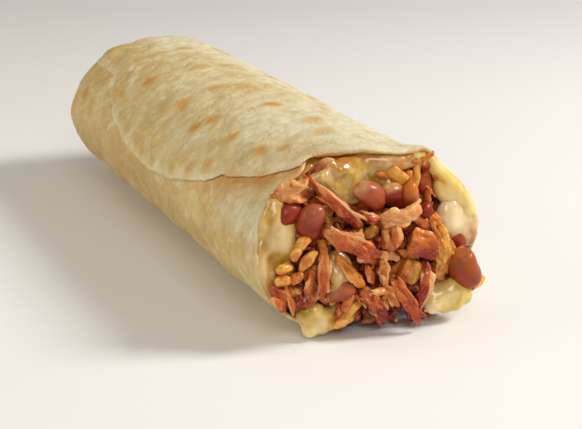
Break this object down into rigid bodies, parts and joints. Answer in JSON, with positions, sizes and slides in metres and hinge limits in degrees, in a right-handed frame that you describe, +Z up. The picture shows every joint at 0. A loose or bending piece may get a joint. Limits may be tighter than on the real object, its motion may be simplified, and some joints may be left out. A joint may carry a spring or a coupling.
{
  "type": "burrito",
  "caption": "Flour tortilla rolled round chicken, beans, rice and melted cheese, folded shut at one end and open at the other, lying on its side.",
  "frame": {"origin": "centre of the footprint of the whole object, on the surface that it rests on", "axes": "+X along the roll towards its open end, +Z up, the flap's free edge on the -Y side"},
  "size_m": [0.1948, 0.0694, 0.0511],
  "materials": {
    "tortilla": "soft flour tortilla, cream to pale tan with toasted golden spots, matte",
    "filling": "golden rice and sauce, moist",
    "bean": "cooked reddish-brown bean skin, smooth and moist",
    "chicken": "fibrous shredded chicken stained orange by sauce",
    "cheese": "melted pale yellow cheese, glossy"
  },
  "bodies": {
    "root": {"tortilla": "tortilla", "filling": "filling", "bean_1": "bean", "bean_2": "bean", "bean_3": "bean", "bean_4": "bean", "bean_5": "bean", "bean_6": "bean", "bean_7": "bean", "bean_8": "bean", "bean_9": "bean", "bean_10": "bean", "bean_11": "bean", "shred_1": "chicken", "shred_2": "chicken", "shred_3": "chicken", "shred_4": "chicken", "shred_5": "chicken", "shred_6": "chicken", "shred_7": "chicken", "shred_8": "chicken", "shred_9": "chicken", "shred_10": "chicken", "shred_11": "chicken", "shred_12": "chicken", "cheese_top": "cheese", "cheese_left": "cheese", "cheese_low_left": "cheese", "cheese_middle": "cheese", "cheese_wall": "cheese", "cheese_right": "cheese", "cheese_low_right": "cheese"}
  },
  "joints": []
}
